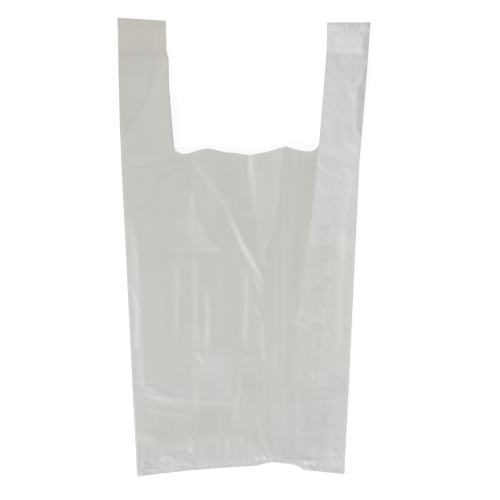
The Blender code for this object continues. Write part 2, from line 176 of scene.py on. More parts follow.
# Creases in the front film: the line followed, downwards or to the right, its height, its width on the side
# away from the light and on the lit side, in millimetres, and how far the film has whitened there, with a
# painted highlight on the lit side. Below 0, the last number is how far painted shade darkens the film
# instead.
CREASES = [
    # Long crease from the mouth down towards the notch in the bottom edge.
    ([(-72, 126), (-61, 106), (-48, 86), (-36, 70), (-24, 54), (-17, 40), (-5, 14), (6, -10),
     (15, -22), (24, -34)], 0.45, 9, 5, 0.26),
    ([(-20, 47), (-12, 28), (-5.5, 14), (-1, 3), (4, -8), (11.5, -20), (18, -30), (22.5, -40),
      (25, -54)], 0.5, 8, 5, 0.8),
    ([(-4, 12), (1, 1), (5, -6), (12.5, -18), (18, -26)], 0.3, 4, 4, 1.0),
    ([(11, -24), (17, -44), (22, -61)], 0.4, 4, 4, 0.35),
    ([(13, -66), (17, -75), (21, -85)], 0.5, 3, 4, 0.5),
    ([(22, -78), (23, -118), (24, -126), (28, -146)], 0.4, 5, 4, 0.3),
    ([(24, -126), (26, -166), (28, -202)], 0.3, 4, 5, 0.0),
    ([(15, -182), (20, -214), (24, -228), (30, -244), (40, -261)], 0.35, 7, 6, 0.1),
    # Upright streaks left by the first folding.
    ([(9, 154), (9, 98), (9, 66)], 0.3, 4, 5, 0.95),
    ([(12, 154), (12, 98), (12, 42)], 0.15, 6, 6, 0.45),
    ([(-1, 38), (14, 39)], 0.3, 2, 2, 0.35),
    ([(45, 154), (44, 104), (42, 68), (38, 26)], 0.25, 3, 4, 0.28),
    ([(-62, 75), (-61, 44), (-60, 8)], 0.25, 4, 5, 0.35),
    ([(-79, -2), (-80, -52), (-80, -117)], 0.22, 5, 5, 0.34),
    ([(-58, 2), (-57, -64), (-56, -131)], 0.2, 5, 6, 0.32),
    ([(-57, -138), (-56, -198)], 0.15, 5, 6, 0.22),
    ([(-58, -125), (-52, -132), (-45, -140)], 0.15, 4, 5, 0.5),
    ([(-56, -40), (-44, -54), (-42, -82), (-43, -106), (-45, -131)], 0.22, 4, 5, 0.5),
    ([(3, -15), (3.5, -40), (3.4, -64), (2.2, -94), (0.5, -131)], 0.22, 5, 5, 0.42),
    ([(-4, -138), (-4, -170), (-7, -184), (-10, -215)], 0.2, 4, 5, 0.32),
    ([(40, 50), (40, -112)], 0.3, 5, 4, 0.0),
    ([(48, 38), (48, -64), (47, -208)], 0.3, 6, 4, 0.1),
    ([(58, 68), (57, -100)], 0.25, 5, 4, 0.0),
    ([(68, -130), (65, -184), (63, -232)], 0.2, 5, 8, 0.05),
    ([(-97, -40), (-97, -106)], 0.2, 4, 4, 0.08),
    ([(38, -106), (38, -155)], 0.25, 4, 3, 0.18),
    # Creases across the body: on the left under the broad facet, and low in the middle.
    ([(-100, -8), (-70, -6), (-26, -5)], -0.4, 7, 6, 0.0),
    ([(-22, -124), (-4, -125), (3, -129), (9, -129), (14, -125), (22, -118)], 0.7, 3.5, 12, 0.0),
    # Arcs low down on the left.
    ([(-136, -35), (-130, -58), (-126, -76), (-127, -100), (-129, -136)], 0.3, 5, 6, 0.75),
    ([(-136, -168), (-122, -164), (-108, -162)], -0.7, 3, 4, 0.1),
    ([(-134, -174), (-118, -166), (-108, -169), (-99, -177), (-84, -181), (-58, -181)], 0.5, 8, 9, 0.16),
    ([(-130, -172), (-115, -176.5), (-104, -179.5), (-93, -181.5), (-81, -182), (-62, -181)],
     0.4, 3, 4, 0.5),
    ([(-64, -187), (-38, -185), (-12, -187)], 0.4, 3, 5, 0.3),
    ([(-56, -173), (-38, -171), (-15, -173)], 0.35, 2.5, 4, 0.1),
    ([(-55, -180), (-37, -178), (-16, -182)], 0.4, 2.5, 4, 0.1),
    ([(-91, -171), (-60, -173)], 0.35, 4, 4, 0.08),
    ([(-124, -192), (-103, -197), (-86, -198), (-57, -203)], 0.35, 4, 5, 0.2),
    ([(-134, -224), (-112, -226), (-100, -232)], 0.5, 10, 14, 0.2),
    # Gathers over the bottom seal.
    ([(-100, -250), (-76, -236), (-64, -231), (-52, -229), (-38, -225), (-22, -220), (-7, -225),
     (22, -230)], 0.6, 6, 13, 0.12),
    ([(-19, -218), (-19, -266)], 0.35, 4, 4, 0.18),
    ([(-84, -245), (-67, -247), (-52, -255)], -0.8, 2.5, 2.5, 0.0),
    ([(-76, -252), (-62, -256), (-54, -264)], -0.8, 2.5, 2.5, 0.0),
    ([(-43, -245), (-26, -264)], -0.8, 3, 3, 0.0),
    ([(10, -255), (22, -251), (40, -255)], 0.6, 3, 4, 0.7),
    ([(-103, -258), (-92, -250), (-79, -255)], 0.9, 4, 8, 0.4),
    ([(-117, -258), (-109, -254), (-103, -260)], 0.9, 3, 5, 0.4),
    ([(-79, -240), (-67, -237), (-56, -242)], 0.3, 3, 6, 0.15),
    ([(-80, -245), (-71, -246), (-62, -250)], 0.0, 2.5, 2.2, -0.7),
    ([(-77, -252), (-67, -253), (-61, -257), (-57, -265)], 0.0, 2.5, 2.2, -0.85),
    ([(-119, -252), (-114, -260), (-117, -265), (-112, -273)], 0.0, 2.5, 2, -0.55),
    ([(-130, -259), (-123, -266), (-117, -273)], 0.0, 2.5, 2, -0.7),
    ([(-125, -255), (-119, -263), (-116, -271)], 0.2, 2.5, 2, 0.6),
    ([(-92, -260), (-80, -261), (-68, -260)], 0.3, 2.5, 2, 0.6),
    ([(-74, -250), (-67, -249), (-60, -252)], 0.5, 2.5, 3, 0.3),
    ([(-126, -256), (-120, -262), (-115, -273)], 0.9, 3, 4, 0.25),
    ([(65, -255), (77, -257), (92, -255)], 1.0, 3, 6, 0.8),
    ([(68, -259), (78, -258), (87, -262)], 0.4, 3, 3, 1.0),
    ([(68, -264), (76, -266), (86, -268)], 0.4, 3, 3, 1.0),
    ([(68, -254), (79, -254.5), (90, -252.5)], 0.0, 2.2, 1.8, -0.5),
    ([(75, -261), (81, -262), (86, -268)], 0.0, 2.2, 1.6, -0.7),
    ([(100, -266), (110, -268), (120, -271)], 0.0, 3, 2.5, -0.7),
    ([(84, -250), (101, -243), (118, -250)], 0.6, 6, 9, 0.2),
    ([(42, -257), (52, -259), (60, -261), (68, -264), (76, -269)], 0.2, 3, 3.5, 1.0),
    # Low on the right pleat, and under it in the foot.
    ([(93, -160), (110, -162), (124, -163)], 0.3, 3, 4, 0.25),
    ([(84, -182), (98, -184), (114, -185)], 0.3, 3, 5, 0.3),
    ([(105, -257), (113, -256), (123, -260)], 0.6, 3, 5, 0.35),
    # Ripples across the right pleat, and the small star on its inner crease.
    ([(84, 22), (94, 23), (107, 23)], 0.4, 3, 5, 0.0),
    ([(88, -1), (98, -2), (110, -1)], 0.35, 3, 5, 0.0),
    ([(86, -17), (97, -20), (107, -18)], 0.35, 3.5, 5, 0.0),
    ([(83, -44), (92, -40), (103, -36)], 0.35, 3, 4, 0.0),
    ([(81, -54), (88, -56), (99, -53)], 0.3, 3, 4, 0.0),
    ([(82, -66), (90, -64), (100, -67)], 0.3, 3, 4, 0.0),
    ([(68, -86), (94, -86)], 0.3, 3, 4, 0.25),
    ([(65, -154), (111, -155)], 0.12, 4, 5, 0.12),
    ([(68, -173), (113, -172)], 0.18, 5, 6, 0.0),
    ([(56, -218), (89, -221), (122, -216)], 0.5, 9, 8, 0.0),
    ([(57, -88), (65, -90), (76, -95)], 0.4, 3, 3, 0.5),
    ([(71, -66), (68, -80), (63, -90)], 0.25, 3, 4, 0.35),
    ([(104, 118), (119, 104), (128, 90), (129, 76), (127, 61), (124, 44), (122, 20), (121, -10),
     (121, -45)], 0.4, 6, 5, 0.45),
    ([(117, -18), (117, -131)], 0.25, 6, 9, 0.15),
    # Where the right handle meets the body.
    ([(84, 116), (101, 112), (113, 106), (128, 94)], -0.6, 8, 6, 0.0),
    ([(88, 106), (94, 96), (104, 88)], 0.4, 3, 4, 0.7),
    ([(101, 93), (111, 89), (120, 82)], 0.4, 3, 4, 0.6),
    ([(88, 80), (93, 72), (98, 64)], 0.35, 3, 4, 0.45),
    ([(118, 128), (131, 122), (144, 115)], 0.5, 5, 6, 0.4),
    # Right handle: pleats pinched by its seal, the fold across it, and the edge that has rolled over.
    ([(107, 279), (107, 260), (108, 248)], 0.7, 3, 3.5, 0.3),
    ([(113.5, 279), (113.5, 258)], 0.8, 3, 3, 0.3),
    ([(119.5, 279), (119, 253)], 1.1, 3.5, 3.5, 0.3),
    ([(125.5, 279), (125.5, 255)], 1.1, 3.5, 3, 0.3),
    ([(132, 279), (132, 253)], 0.7, 3, 3, 0.2),
    ([(137.5, 279), (137.5, 253)], 1.0, 3.5, 3, 0.2),
    ([(145, 279), (144.5, 254)], 0.8, 3.5, 3, 0.5),
    ([(94, 232), (122, 231), (152, 232)], -0.8, 8, 5, 0.0),
    ([(126, 192), (128, 186), (130, 177)], 0.35, 3, 3.5, 1.0),
    ([(148, 234), (146, 220), (140, 202), (135, 194), (133, 183), (133, 157), (134, 142), (137, 135),
     (140, 126), (144, 116)], 0.45, 4, 5, 0.5),
    ([(108, 238), (108, 206)], 0.3, 3, 5, 0.15),
    ([(116, 205), (128, 196), (137, 200)], 0.4, 5, 5, 0.1),
    ([(104, 176), (113, 166), (120, 152)], 0.4, 5, 5, 0.1),
    # Left handle: a fold across it, one aslant, and the creases by its foot.
    ([(-163, 230), (-130, 228), (-112, 229), (-81, 231)], 0.5, 5, 14, 0.0),
    ([(-102, 224), (-105, 207), (-114, 187), (-122, 170), (-135, 153), (-145, 128)], -0.25, 8, 9, 0.0),
    ([(-97, 228), (-94, 219), (-93, 208)], 0.1, 4, 4, 0.3),
    ([(-145, 96), (-125, 98), (-108, 102), (-98, 107), (-85, 117)], -0.4, 5, 5, 0.0),
    ([(-118, 97), (-104, 103), (-92, 111), (-78, 124)], -0.5, 4, 4, 0.0),
    ([(-132, 88), (-112, 95), (-98, 102)], 0.3, 5, 5, 0.0),
    ([(-138, 50), (-122, 48), (-107, 62), (-101, 75), (-96, 86), (-86, 93), (-62, 98)], -0.9, 4, 5, 0.0),
    ([(-150, 265), (-124, 264), (-100, 260)], 0.4, 3, 4, 0.0),
]

# Share of its length over which a crease rises to its full height.
CREASE_TAPER = 1 / 3.5
# How wide a crease has whitened on the side away from the light: in millimetres if it is higher than
# TALL_CREASE, and else as a share of its own width. On the lit side the white, a painted highlight, spreads
# over the crease's lit width. The white ends at WHITE_REACH times that.
TALL_CREASE = 0.45
TALL_WHITE = 1.2
LOW_WHITE = 0.8
WHITE_REACH = 1.15

# How soft every facet's lower end is, and how white its left line is beside its right one.
FACET_FOOT = 6
FACET_START = 0.6
# Facets that rise evenly from a left line to a right line, each of (distance across, height) going down,
# then the rise, the width of the fall beyond the right line, how far the facet is painted lighter, a painted
# highlight on its slope that faces the light, how soft its borders are and how long its upper end takes to
# fade in.
PANELS = [
    # From the mouth down to a point beside the long crease.
    ([(13, 130), (12, 14), (17, -4), (23, -19)],
     [(46, 130), (44, 92), (41, 68), (39, 40), (32, 14), (26, -4), (24, -19)], 0.8, 12, 0.2, 3, 2),
    # Beside the mouth, on the left.
    ([(-82, 66), (-80, 26), (-70, 6), (-58, -6)], [(-60, 66), (-56.5, 38), (-49, 21), (-39, 7), (-26, -5)],
     0.4, 9, 0.26, 9, 36),
    # Under the lower end of the long crease.
    ([(10, -23), (14, -39), (19, -56)], [(20, -31), (23.5, -43), (23, -61)], 0.15, 4, 0.36, 1.5, 3),
    # Along the left side crease.
    ([(-142, 56), (-141, -4), (-138, -52), (-134, -112), (-132, -169)],
     [(-140, 56), (-135, 32), (-131, 14), (-128, -4), (-125, -52), (-123, -100), (-120, -158),
      (-118, -169)], 0.3, 12, 0.42, 4, 70),
    # Low down in the middle.
    ([(-58, -118), (-58, -180)], [(-20, -118), (-17, -180)], 0.15, 8, 0.12, 5, 14),
    # Along the right pleat.
    ([(105, 78), (104, -40)], [(122, 78), (121, 26), (120, -40)], 0.3, 8, 0.3, 5, 30),
    ([(103, -30), (103, -125)], [(117, -30), (116, -125)], 0.15, 8, 0.16, 5, 10),
    # Facet at the top of the right handle, with a painted sheen on it.
    ([(103, 262), (101, 233)], [(143, 262), (142, 233)], 0.2, 4, 0.75, 5, 14),
]

# Line over the right pleat's inner crease, going down, and how pale the film is right of it, where it is
# four layers deep.
PALE_BORDER = [(90, 122), (88.5, 109), (86, 80), (81.5, 42), (75.5, 3), (70, -45), (65, -93), (66, -140),
               (60, -275)]
PALE_SHARE = [(-275, 0.35), (-150, 0.3), (-95, 0.25), (-8, 0.35), (14, 1.0)]
# Left edge of the duller band beside it, going down.
BAND_EDGE = [(45, 120), (44, 92), (41, 68), (34, 30), (38, -10), (39, -90)]
# Left edge of the dull film in the left pleat, going down.
LEFT_DULL_EDGE = [(-170, 60), (-130, 20), (-128, -40)]
# Line aslant over the left handle, going down, left of which the film is warmer, and how much warmer it is
# there and at the start of the handle's upper end. The warm colour is darker too, as painted shade on the
# handle's upper end.
WARM_SLANT = [(-94, 225), (-103, 213), (-115, 177), (-132, 148), (-141, 130)]
SLANT_WARMTH = 0.62
UPPER_WARMTH = 0.55
# Upper edge of the gathered film over the foot, from left to right, and how gathered the film is.
GATHER_EDGE = [(-130, -262), (-110, -252), (-88, -245), (-64, -232), (-22, -221), (22, -231), (36, -250),
               (60, -256), (92, -247), (120, -250)]
FOOT_GATHERED = 0.38

# Stretches of film that are lighter or darker, many of them painted shade and painted light, and greyer:
# left and right border, as one distance across or as a line going down, height of the upper and the lower
# end, how light beside the rest, how grey, how soft the side borders are and how soft the ends.
STRETCHES = [
    # Under the right half of the mouth.
    (-8, 84, 130, 104, 1.025, 0.0, 6, 4),
    # Beside the long crease and the upright streaks.
    (-34, -2, 92, 14, 0.972, 0.0, 8, 12),
    (-4, 14, 60, -26, 0.975, 0.0, 5, 10),
    (-84, -60, 86, -84, 1.018, 0.0, 5, 10),
    (14, 38, -90, -158, 1.03, 0.0, 5, 10),
    (36, 60, -90, -172, 1.02, 0.0, 5, 10),
    # Left half of the body, darker as painted shade that evens out the key light on the crown's left slope.
    (-170, [(-50, 110), (-46, 0)], 110, 0, 0.975, 0.0, 22, 30),
    (-170, [(-46, 0), (-20, -235)], 0, -235, 0.962, 0.0, 22, 30),
    # Inner side of the left handle.
    (-108, -80, 262, 208, 1.05, 0.0, 6, 6),
    # Painted shade along the crease aslant over the left handle and where it broadens, and the handle's
    # upper end.
    ([(-109, 212), (-113.7, 200), (-118.5, 182), (-129, 164), (-137.7, 152), (-144, 138)],
     [(-103, 212), (-106.5, 200), (-111.3, 182), (-119.7, 164), (-128, 152), (-134, 138)],
     212, 138, 0.95, 0.0, 2.5, 6),
    (-144, -104, 152, 112, 0.97, 0.0, 8, 8),
    (-170, -140, 230, 130, 0.965, 0.0, 4, 8),
    (-170, -80, 256, 238, 1.035, 0.0, 4, 4),
    (-170, -80, 290, 264, 0.98, 0.0, 3, 3),
    # Beside the right side crease: greyer, and lighter as painted light along the right side.
    ([(108, 50), (106, -30)], 128, 50, -30, 1.0, 0.2, 4, 12),
    ([(118, 132), (113, 30)], 170, 132, 30, 1.055, 0.6, 7, 12),
    ([(112, 20), (105, -160)], 170, 20, -160, 1.11, 0.3, 7, 12),
    ([(104, -170), (98, -290)], 170, -170, -290, 1.06, 0.6, 7, 12),
    # Where the right handle meets the body, and the middle and the top of the handle: lighter, with painted
    # highlights where it meets the body and a painted sheen on the patch at the top, and darker along the
    # top seal with lighter strips in it.
    ([(86, 126), (84, 60)], 170, 126, 60, 1.03, 0.0, 6, 8),
    (88, 136, 126, 108, 1.035, 0.0, 4, 3),
    (80, 136, 228, 128, 1.035, 0.0, 3, 5),
    (98, [(143, 258), (142, 232)], 258, 232, 1.035, 0.0, 3, 3),
    (97, 117, 250, 234, 1.04, 0.0, 2, 3),
    (115, 142, 238, 220, 1.04, 0.0, 2, 3),
    (98, 170, 290, 267, 0.93, 0.0, 2, 1.5),
    (130, 143, 290, 263, 0.94, 0.0, 1, 1.5),
    (102, 120, 264, 259, 1.05, 0.0, 2, 1.5),
    (143.5, 147, 267, 255, 1.05, 0.0, 0.8, 1.5),
    # Painted shade in the pinched pleats of the right handle's seal.
    (108.5, 112, 290, 264, 0.88, 0.0, 0.8, 1.5),
    (115.5, 119, 290, 264, 0.93, 0.0, 0.8, 1.5),
    (121, 124, 290, 261, 0.82, 0.0, 0.8, 2),
    (127, 130.5, 290, 262, 0.82, 0.0, 0.8, 2),
    (133, 135.5, 265, 254, 0.93, 0.0, 0.8, 2),
    (139.5, 143, 290, 255, 0.87, 0.0, 0.8, 2),
    (147.5, 170, 290, 264, 0.82, 0.0, 0.8, 2),
    # Painted shade between the ripples.
    (84, 102, 18, 6, 0.965, 0.0, 3, 3),
    (120, 138, 20, 4, 0.965, 0.0, 3, 3),
    # Left of the right pleat.
    ([(58, 125), (56, 20)], [(84, 125), (76, 20)], 125, 20, 1.03, 0.0, 6, 10),
    # Over the right pleat, the painted shade of its ripples, and its darker foot.
    ([(88, 80), (84, 0)], [(118, 80), (116, 0)], 80, 0, 1.02, 0.0, 4, 8),
    ([(70, 25), (58, -165)], [(107, 25), (102, -165)], 25, -165, 1.04, 0.0, 3, 14),
    (88, 104, 25, 19.5, 0.93, 0.0, 2, 1.2),
    (95, 102, 24, 20.5, 0.95, 0.0, 1, 1),
    (90, 107, 1.5, -3, 0.93, 0.0, 2, 1.2),
    (88, 102, -12, -21, 0.95, 0.0, 2, 2),
    (95, 101, -14, -19, 0.97, 0.0, 1.5, 1.5),
    (86, 100, -23, -27, 0.96, 0.0, 2, 1.2),
    (97, 105, -35, -42, 0.93, 0.0, 2, 2),
    (83, 90, -44, -52, 0.965, 0.0, 2, 2),
    (93, 99, -46, -52, 0.97, 0.0, 1.5, 1.5),
    (85, 95, -58, -63, 0.965, 0.0, 2, 1.5),
    (93.5, 98.5, -64, -75, 0.955, 0.0, 1, 2),
    ([(86, 32), (80, -72)], [(98, 32), (94, -72)], 32, -72, 0.98, 0.0, 4, 10),
    ([(98, -10), (90, -160)], [(110, -10), (108, -160)], -10, -160, 1.04, 0.0, 4, 12),
    (50, [(110, -178), (106, -262)], -178, -262, 0.97, 0.0, 6, 10),
    (58, 80, -200, -250, 0.97, 0.0, 5, 10),
    (75, 108, -240, -290, 1.035, 0.0, 6, 5),
    # Along the left side crease, and low down.
    (-150, [(-123, -12), (-120, -280)], -12, -280, 1.0, 0.8, 4, 6),
    (-57, [(-36, -58), (-36, -118), (-13, -126), (-13, -196)], -58, -196, 1.0, 0.7, 3, 10),
    (-150, -60, -158, -196, 1.0, 0.7, 3, 6),
    (-150, 30, -232, -290, 1.0, 0.9, 4, 6),
    ([(84, -140), (84, -176), (34, -192), (34, -290)], 140, -140, -290, 1.0, 0.8, 8, 8),
    (-62, [(-38, -96), (-32, -158)], -96, -158, 1.03, 0.0, 5, 10),
    ([(-10, -150), (-6, -240)], [(12, -150), (18, -240)], -150, -240, 0.955, 0.0, 5, 14),
    # Beside the upright streak at the mouth, and beside the broad facet.
    (10, [(24, 90), (22, 35)], 90, 35, 1.035, 0.3, 2, 6),
    ([(47, 150), (44, 40)], [(56, 150), (52, 40)], 150, 40, 1.02, 0.0, 1.5, 8),
    # Painted shade in the dents in the foot.
    (-131, -119, -264, -275, 0.95, 0.0, 1.5, 2),
    (-119, -110, -256, -268, 0.92, 0.0, 1.5, 2),
    (-56, -26, -236, -258, 0.955, 0.0, 2, 3),
    (88, 125, -263, -290, 0.95, 0.0, 2, 2),
    # Lighter beside the upright streaks and over the arcs.
    (-84, -58, -92, -146, 1.035, 0.0, 5, 10),
    (-64, -8, -128, -178, 1.022, 0.0, 6, 8),
    (84, 170, -162, -194, 1.03, 0.0, 6, 6),
    (36, 62, 110, -90, 1.02, 0.0, 5, 20),
    ([(86, -10), (84, -88)], 108, -10, -88, 1.02, 0.0, 6, 8),
    (-58, -34, -238, -290, 1.02, 0.0, 4, 6),
    (34, 62, -236, -290, 1.02, 0.0, 5, 6),
    # Flat darker patch between the arc and the gathers.
    ([(-122, -192), (-110, -232)], -12, -192, -232, 0.96, 0.0, 6, 5),
]

# Inner edge of the strip that has rolled over on the right handle, going down. The strip keeps the plain
# film colour instead of the pale one, as painted shade on its slope away from the light.
ROLLED_EDGE = [(141, 264), (141, 250), (143, 236), (147, 221), (143, 203), (138, 195), (136, 184),
               (134.5, 157), (135.5, 143), (138, 135.5), (141, 126)]
# How milky the film is, by its height up the bag, with painted shade low down that evens out the key light
# on the dome's lower slope, and beside that where the foot has crumpled, along the bottom edge and under the
# painted shade of the creases.
MILK_AND_SHADE_BY_HEIGHT = [(-275, 0.99), (-255, 0.97), (-235, 0.96), (-200, 0.975), (-120, 0.985), (-40, 0.99),
             (60, 0.99), (130, 0.985), (205, 1.0), (232, 1.03), (276, 1.03)]
CRUMPLED_MILK = 1.03
EDGE_MILK = 0.965
CREASE_SHADE_FACTOR = 0.86
# How strongly the bottom seal has crumpled, by the distance across, and the handles' tops beside it.
FOOT_CRUMPLE = [(-130, 1.0), (-95, 0.9), (-75, 0.7), (-50, 0.35), (-20, 0.3), (2, 0.6), (40, 0.7),
                (55, 0.3), (70, 0.9), (90, 0.9), (100, 0.5), (121, 0.7)]
TOP_CRUMPLE = 0.3
# How far the film has whitened where the foot has crumpled and in the mouth's wrinkled lip, up to its ends.
FOOT_WHITE = 0.6
LIP_WHITE = 0.3
LIP_END = 84 * MM
# The same on each side crease, where the white is partly whitening and partly a painted highlight along the
# fold, with how wide it is there and up to what height, in millimetres.
FOLD_WHITE = {LEFT: (0.35, 2.5, 70), RIGHT: (0.9, 3.5, 130)}


def mix(start, end, share):
    return start + (end - start) * share


def ease(share):
    """0 to 1 with a flat start and a flat end."""
    held = np.clip(share, 0.0, 1.0)
    return held * held * (3 - 2 * held)


def rise(place, start, width):
    """0 up to the start and 1 from the width beyond it. The start and the width are in millimetres."""
    return ease((place - start * MM) / (width * MM))


def fall(place, end, width):
    """1 up to the width before the end and 0 from the end on. Both are in millimetres."""
    return ease((end * MM - place) / (width * MM))


def passed(place, edge, width):
    """0 before an edge and 1 past it, with a change over the width in millimetres around it."""
    return ease((place - edge) / (width * MM) + 0.5)


def reading(points, place):
    """Straight-line reading of (place in millimetres, value) points, held at both ends."""
    ordered = sorted(points)
    return np.interp(place / MM, [at for at, _ in ordered], [value for _, value in ordered])


def along(points, place):
    """The same for values that are in millimetres too."""
    return reading(points, place) * MM


def line_x(line, y):
    """Distance across of a line that goes down the bag: points, or one distance for an upright line."""
    if isinstance(line, (int, float)):
        return line * MM
    return along([(height, place) for place, height in line], y)


def side_x(side, y):
    return along(SIDE_CREASE[side], y)


def cut_line(side, y):
    return along(CUT_EDGE[side], y)


def bottom_y(x):
    return along(BOTTOM, x)


def wave_y(x):
    """Height of the mouth's wavy edge, without its corners: a smooth curve through its points."""
    places, levels = np.array(MOUTH).T
    lengths = np.diff(places)
    rises = np.diff(levels) / lengths
    before, after = rises[:-1], rises[1:]
    slopes = np.zeros(len(MOUTH))
    slopes[1:-1] = np.where(before * after > 0, 2 * before * after / (before + after), 0)
    wave = np.clip(np.searchsorted(places, x / MM) - 1, 0, len(MOUTH) - 2)
    share = np.clip((x / MM - places[wave]) / lengths[wave], 0, 1)
    bend = (1 - share) * slopes[wave] - share * slopes[wave + 1]
    level = mix(levels[wave], levels[wave + 1], ease(share))
    return (level + share * (1 - share) * lengths[wave] * bend) * MM


def corner(side):
    """Centre and middle height of the rounded corner between the mouth and a handle."""
    centre_y = MOUTH[0 if side == LEFT else -1][1] * MM + CORNER_RADIUS
    centre_x = cut_line(side, centre_y) - side * CORNER_RADIUS
    return centre_x, centre_y, centre_y - CORNER_RADIUS * DIAGONAL


def cut_x(side, y):
    """Inner edge of a handle, through the rounded corner and on down the body."""
    centre_x, centre_y, middle = corner(side)
    straight = cut_line(side, y)
    rounded = centre_x + side * np.sqrt(np.clip(CORNER_RADIUS**2 - (centre_y - y) ** 2, 0, None))
    shift = centre_x + side * CORNER_RADIUS * DIAGONAL - cut_line(side, middle)
    below = straight + shift * ease(1 - (middle - y) / CUT_FADE)
    return np.where(y >= centre_y, straight, np.where(y >= middle, rounded, below))


def mouth_y(x):
    """Height of the die cut: its wave, and the rounded corner at each end."""
    level = wave_y(x)
    for side in (LEFT, RIGHT):
        centre_x, centre_y, middle = corner(side)
        reach = side * (x - centre_x)
        rounded = centre_y - np.sqrt(np.clip(CORNER_RADIUS**2 - reach**2, 0, None))
        rounded = np.where(reach >= CORNER_RADIUS * DIAGONAL, middle, rounded)
        level = np.where(reach > 0, rounded, level)
    return level


def pleat_x(side, y):
    """Inner crease of a side pleat, which stays inside the line of the cut."""
    crease = along(PLEAT_CREASE[side], y)
    nearest = cut_x(side, y) - side * PLEAT_MARGIN
    return np.maximum(crease, nearest) if side == LEFT else np.minimum(crease, nearest)


def top_y(side, x):
    outer, inner = HANDLE_TOP[side]
    outer_x = side_x(side, outer * MM)
    inner_x = cut_x(side, inner * MM)
    return mix(outer, inner, np.clip((x - outer_x) / (inner_x - outer_x), 0, 1)) * MM


def line_reading(line, x, y):
    """Distance from a line of points, above 0 on its left hand, share of it gone, and the way off it."""
    points = np.array(line, float) * MM
    steps = np.diff(points, axis=0)
    lengths = np.hypot(steps[:, 0], steps[:, 1])
    gone = np.concatenate([[0], np.cumsum(lengths)])
    nearest = np.full_like(x, np.inf)
    share, off_x, off_y = np.zeros_like(x), np.zeros_like(x), np.zeros_like(x)
    for start, step, length, before in zip(points, steps, lengths, gone):
        reach = np.clip(((x - start[0]) * step[0] + (y - start[1]) * step[1]) / length**2, 0, 1)
        away_x = x - start[0] - reach * step[0]
        away_y = y - start[1] - reach * step[1]
        away = np.hypot(away_x, away_y)
        closer = away < np.abs(nearest)
        hand = np.where(step[0] * away_y - step[1] * away_x > 0, 1, -1)
        nearest = np.where(closer, away * hand, nearest)
        share = np.where(closer, (before + reach * length) / gone[-1], share)
        off_x, off_y = np.where(closer, away_x, off_x), np.where(closer, away_y, off_y)
    return nearest, share, off_x, off_y


def crease_marks(hollow, x, y):
    """How far the creases lift the film, how far they whiten it and paint highlights on it, and how far they
    paint shade on it.
    """
    lift, white, painted_crease_shade = np.zeros_like(x), np.zeros_like(x), np.zeros_like(x)
    for line, height, far, near, whitening_and_painted_light in CREASES:
        away, share, _, _ = line_reading(line, x, y)
        taper = ease(np.minimum(share, 1 - share) / CREASE_TAPER)
        width = np.where(away > 0, far, near) * MM
        lift += height * MM * taper * np.clip(1 - np.abs(away) / width, 0, 1) ** hollow
        whitened_and_highlit = TALL_WHITE if height > TALL_CREASE else LOW_WHITE * far
        band = np.where(away > 0, whitened_and_highlit * MM, near * MM)
        band = taper * ease(WHITE_REACH - np.abs(away) / band)
        white = np.maximum(white, whitening_and_painted_light * band)
        # A crease with a last number below 0 paints shade, which darkens the film.
        painted_crease_shade = np.maximum(painted_crease_shade, -whitening_and_painted_light * band)
    return lift, white, painted_crease_shade


def panel_marks(x, y):
    """How far the broad facets lift the film and how much painted highlight they lay on it."""
    lift, white = np.zeros_like(x), np.zeros_like(x)
    for left, right, height, far, whitening_and_painted_light, soft, fade in PANELS:
        left_x, right_x = line_x(left, y), line_x(right, y)
        inside = fall(y, left[0][1], fade) * passed(y, left[-1][1] * MM, FACET_FOOT)
        share = np.clip((x - left_x) / np.maximum(right_x - left_x, MM), 0, 1)
        lift += height * MM * inside * share * np.clip(1 - (x - right_x) / (far * MM), 0, 1)
        edges = rise(x - left_x, 0, 2 * soft) * passed(right_x, x, soft)
        white = np.maximum(white, whitening_and_painted_light * inside * edges * mix(FACET_START, 1.0, share))
    return lift, white


def stretch_marks(x, y):
    """How much lighter or darker the film is beside the rest, painted shade and light among it, and how
    grey.
    """
    milk_and_light, grey = np.ones_like(x), np.zeros_like(x)
    for left, right, top, foot, factor, greyness, soft, fade in STRETCHES:
        inside = passed(x, line_x(left, y), 2 * soft) * passed(line_x(right, y), x, 2 * soft)
        inside = inside * passed(top * MM, y, 2 * fade) * passed(y, foot * MM, 2 * fade)
        milk_and_light = milk_and_light * mix(1, factor, inside)
        grey = np.maximum(grey, greyness * inside)
    return milk_and_light, grey


def field(x, y, kind):
    """Smooth noise from about -1 to 1, of one of the kinds above."""
    wide, tall, seed = kind
    places = zip(np.ravel(x) / (wide * MM), np.ravel(y) / (tall * MM))
    values = np.array([noise.noise(Vector((a, b, seed))) for a, b in places])
    return values.reshape(np.shape(x)) * NOISE_RANGE


def crests(x, y, kind):
    """The same noise folded over, which leaves sharp crests between smooth dips."""
    return 1 - 2 * np.abs(field(x, y, kind))


def length_prop(name, description, default):
    return FloatProperty(name=name, description=description, default=default, unit="LENGTH")


def factor_prop(name, description, default):
    return FloatProperty(
        name=name, description=description, default=default, min=0.0, max=1.0, subtype="FACTOR"
    )


def number_prop(name, description, default, least, most):
    return FloatProperty(name=name, description=description, default=default, min=least, max=most)


def count_prop(name, description, default, least):
    return IntProperty(name=name, description=description, default=default, min=least)


def colour_prop(name, description, default):
    return FloatVectorProperty(
        name=name, description=description, default=default, size=3, subtype="COLOR", min=0.0, max=1.0
    )


